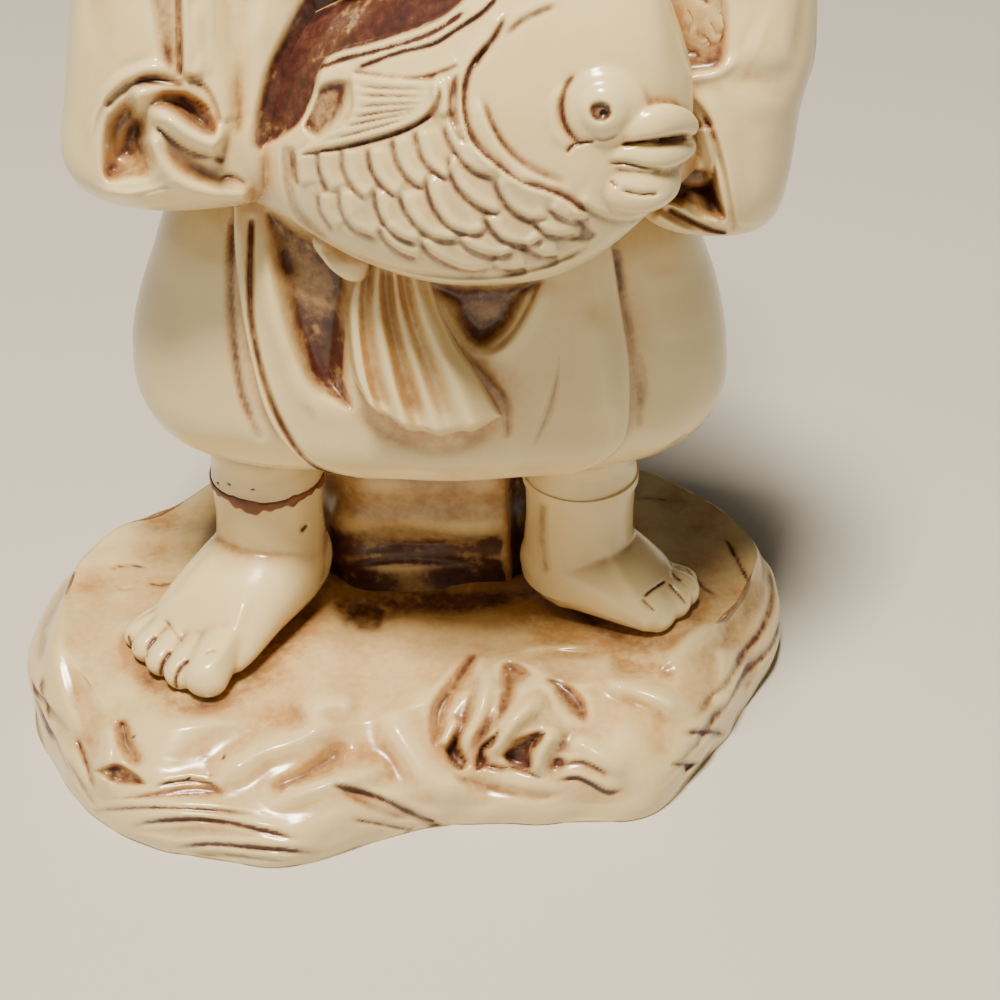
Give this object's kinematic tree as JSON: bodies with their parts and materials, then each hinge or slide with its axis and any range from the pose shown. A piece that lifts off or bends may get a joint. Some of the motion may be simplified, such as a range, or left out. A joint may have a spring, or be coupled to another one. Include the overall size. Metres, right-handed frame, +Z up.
{
  "type": "okimono carving",
  "caption": "Standing figure in a wide-sleeved robe and bloused trousers, holding a large sea bream, on a low rock carved with waves.",
  "frame": {"origin": "middle of the rock's outline on its flat underside, the face that stands on the table", "axes": "+Z up, -Y to the front that the figure faces, +X to the viewer's right"},
  "size_m": [0.094, 0.066, 0.18],
  "materials": {
    "cast_resin": "polished cast resin in an ivory colour, antiqued brown in the hollows",
    "brown_cement": "brown glue line",
    "peg_wire": "plain"
  },
  "bodies": {
    "root": {"rock_base": "cast_resin", "prop_rock": "cast_resin", "right_foot": "cast_resin", "left_foot": "cast_resin", "right_ankle_cement": "brown_cement", "left_ankle_cement": "brown_cement", "right_leg": "cast_resin", "left_leg": "cast_resin", "right_trouser": "cast_resin", "left_trouser": "cast_resin", "robe_front": "cast_resin", "robe_back": "cast_resin", "torso": "cast_resin", "right_sleeve": "cast_resin", "left_sleeve": "cast_resin", "right_hand": "cast_resin", "left_hand": "cast_resin", "fish_body": "cast_resin", "fish_tail": "cast_resin", "sash_knot": "cast_resin", "sash_end": "cast_resin", "head": "cast_resin", "cap": "cast_resin", "foot_pegs": "peg_wire", "ankle_pegs": "peg_wire", "waist_pegs": "peg_wire", "sleeve_pegs": "peg_wire", "fish_pegs": "peg_wire", "prop_peg": "peg_wire", "neck_peg": "peg_wire", "cap_peg": "peg_wire"}
  },
  "joints": []
}
